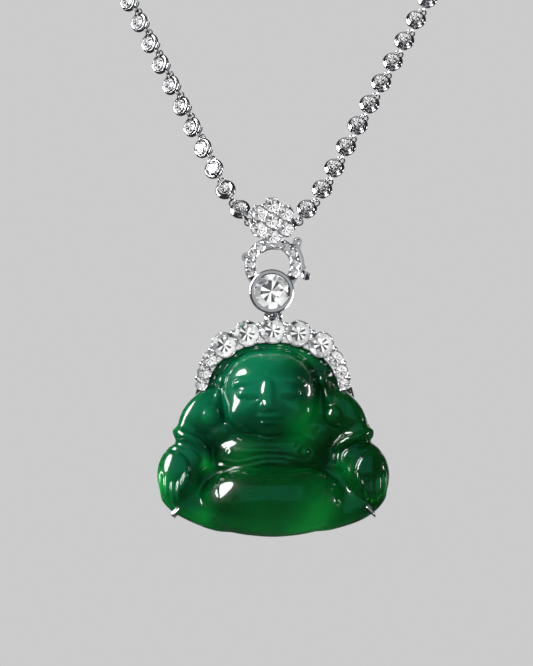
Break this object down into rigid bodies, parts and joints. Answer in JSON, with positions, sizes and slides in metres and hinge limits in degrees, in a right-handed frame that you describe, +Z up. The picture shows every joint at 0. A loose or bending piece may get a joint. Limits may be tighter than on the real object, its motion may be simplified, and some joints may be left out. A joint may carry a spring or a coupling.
{
  "type": "pendant necklace",
  "caption": "Necklace of round stone stations with a hinged ring under a flower bail, and a carved jade seated figure under a crown of round cut stones.",
  "frame": {"origin": "nape of the neck, at the middle of the chain's hidden clasp side, where the chain rests", "axes": "+Z up as worn, -Y the way the pendant faces, +X to the viewer's right"},
  "size_m": [0.1046, 0.1147, 0.1641],
  "materials": {
    "white_gold": "polished white metal",
    "cut_stone": "clear cut stone with polished facets",
    "jade": "deep green translucent stone with a wet polish"
  },
  "bodies": {
    "necklace": {"chain": "white_gold", "chain_clasp": "white_gold"},
    "bail": {"bail_frame": "white_gold", "bail_stone_1": "cut_stone", "bail_stone_2": "cut_stone", "bail_stone_3": "cut_stone", "bail_stone_4": "cut_stone", "bail_stone_5": "cut_stone", "bail_stone_6": "cut_stone", "bail_stone_7": "cut_stone", "ring_upper_stones": "cut_stone", "ring_pin": "white_gold", "lever_pin": "white_gold"},
    "ring": {"ring_lower": "white_gold", "ring_lower_stones": "cut_stone", "solitaire_stone": "cut_stone"},
    "lever": {"catch_lever": "white_gold"},
    "drop": {"crown_frame": "white_gold", "crown_stone_01": "cut_stone", "crown_stone_02": "cut_stone", "crown_stone_03": "cut_stone", "crown_stone_04": "cut_stone", "crown_stone_05": "cut_stone", "crown_stone_06": "cut_stone", "crown_stone_07": "cut_stone", "crown_stone_08": "cut_stone", "crown_stone_09": "cut_stone", "crown_stone_10": "cut_stone", "crown_stone_11": "cut_stone", "jade_figure": "jade", "drop_pin": "white_gold"}
  },
  "joints": [
    {"name": "pendant_swing", "type": "hinge", "parent": "necklace", "child": "bail", "pos_m": [0, -0.107, -0.109], "axis": [1, 0, 0], "range_deg": [-60, 60]},
    {"name": "ring_open", "type": "hinge", "parent": "bail", "child": "ring", "pos_m": [-0.0046, -0.107, -0.1142], "axis": [0, 1, 0], "range_deg": [0, 35]},
    {"name": "catch_open", "type": "hinge", "parent": "bail", "child": "lever", "pos_m": [0.00424, -0.107, -0.11176], "axis": [0, -1, 0], "range_deg": [0, 50]},
    {"name": "drop_swing", "type": "hinge", "parent": "ring", "child": "drop", "pos_m": [0, -0.107, -0.12385], "axis": [1, 0, 0], "range_deg": [-25, 40]}
  ]
}
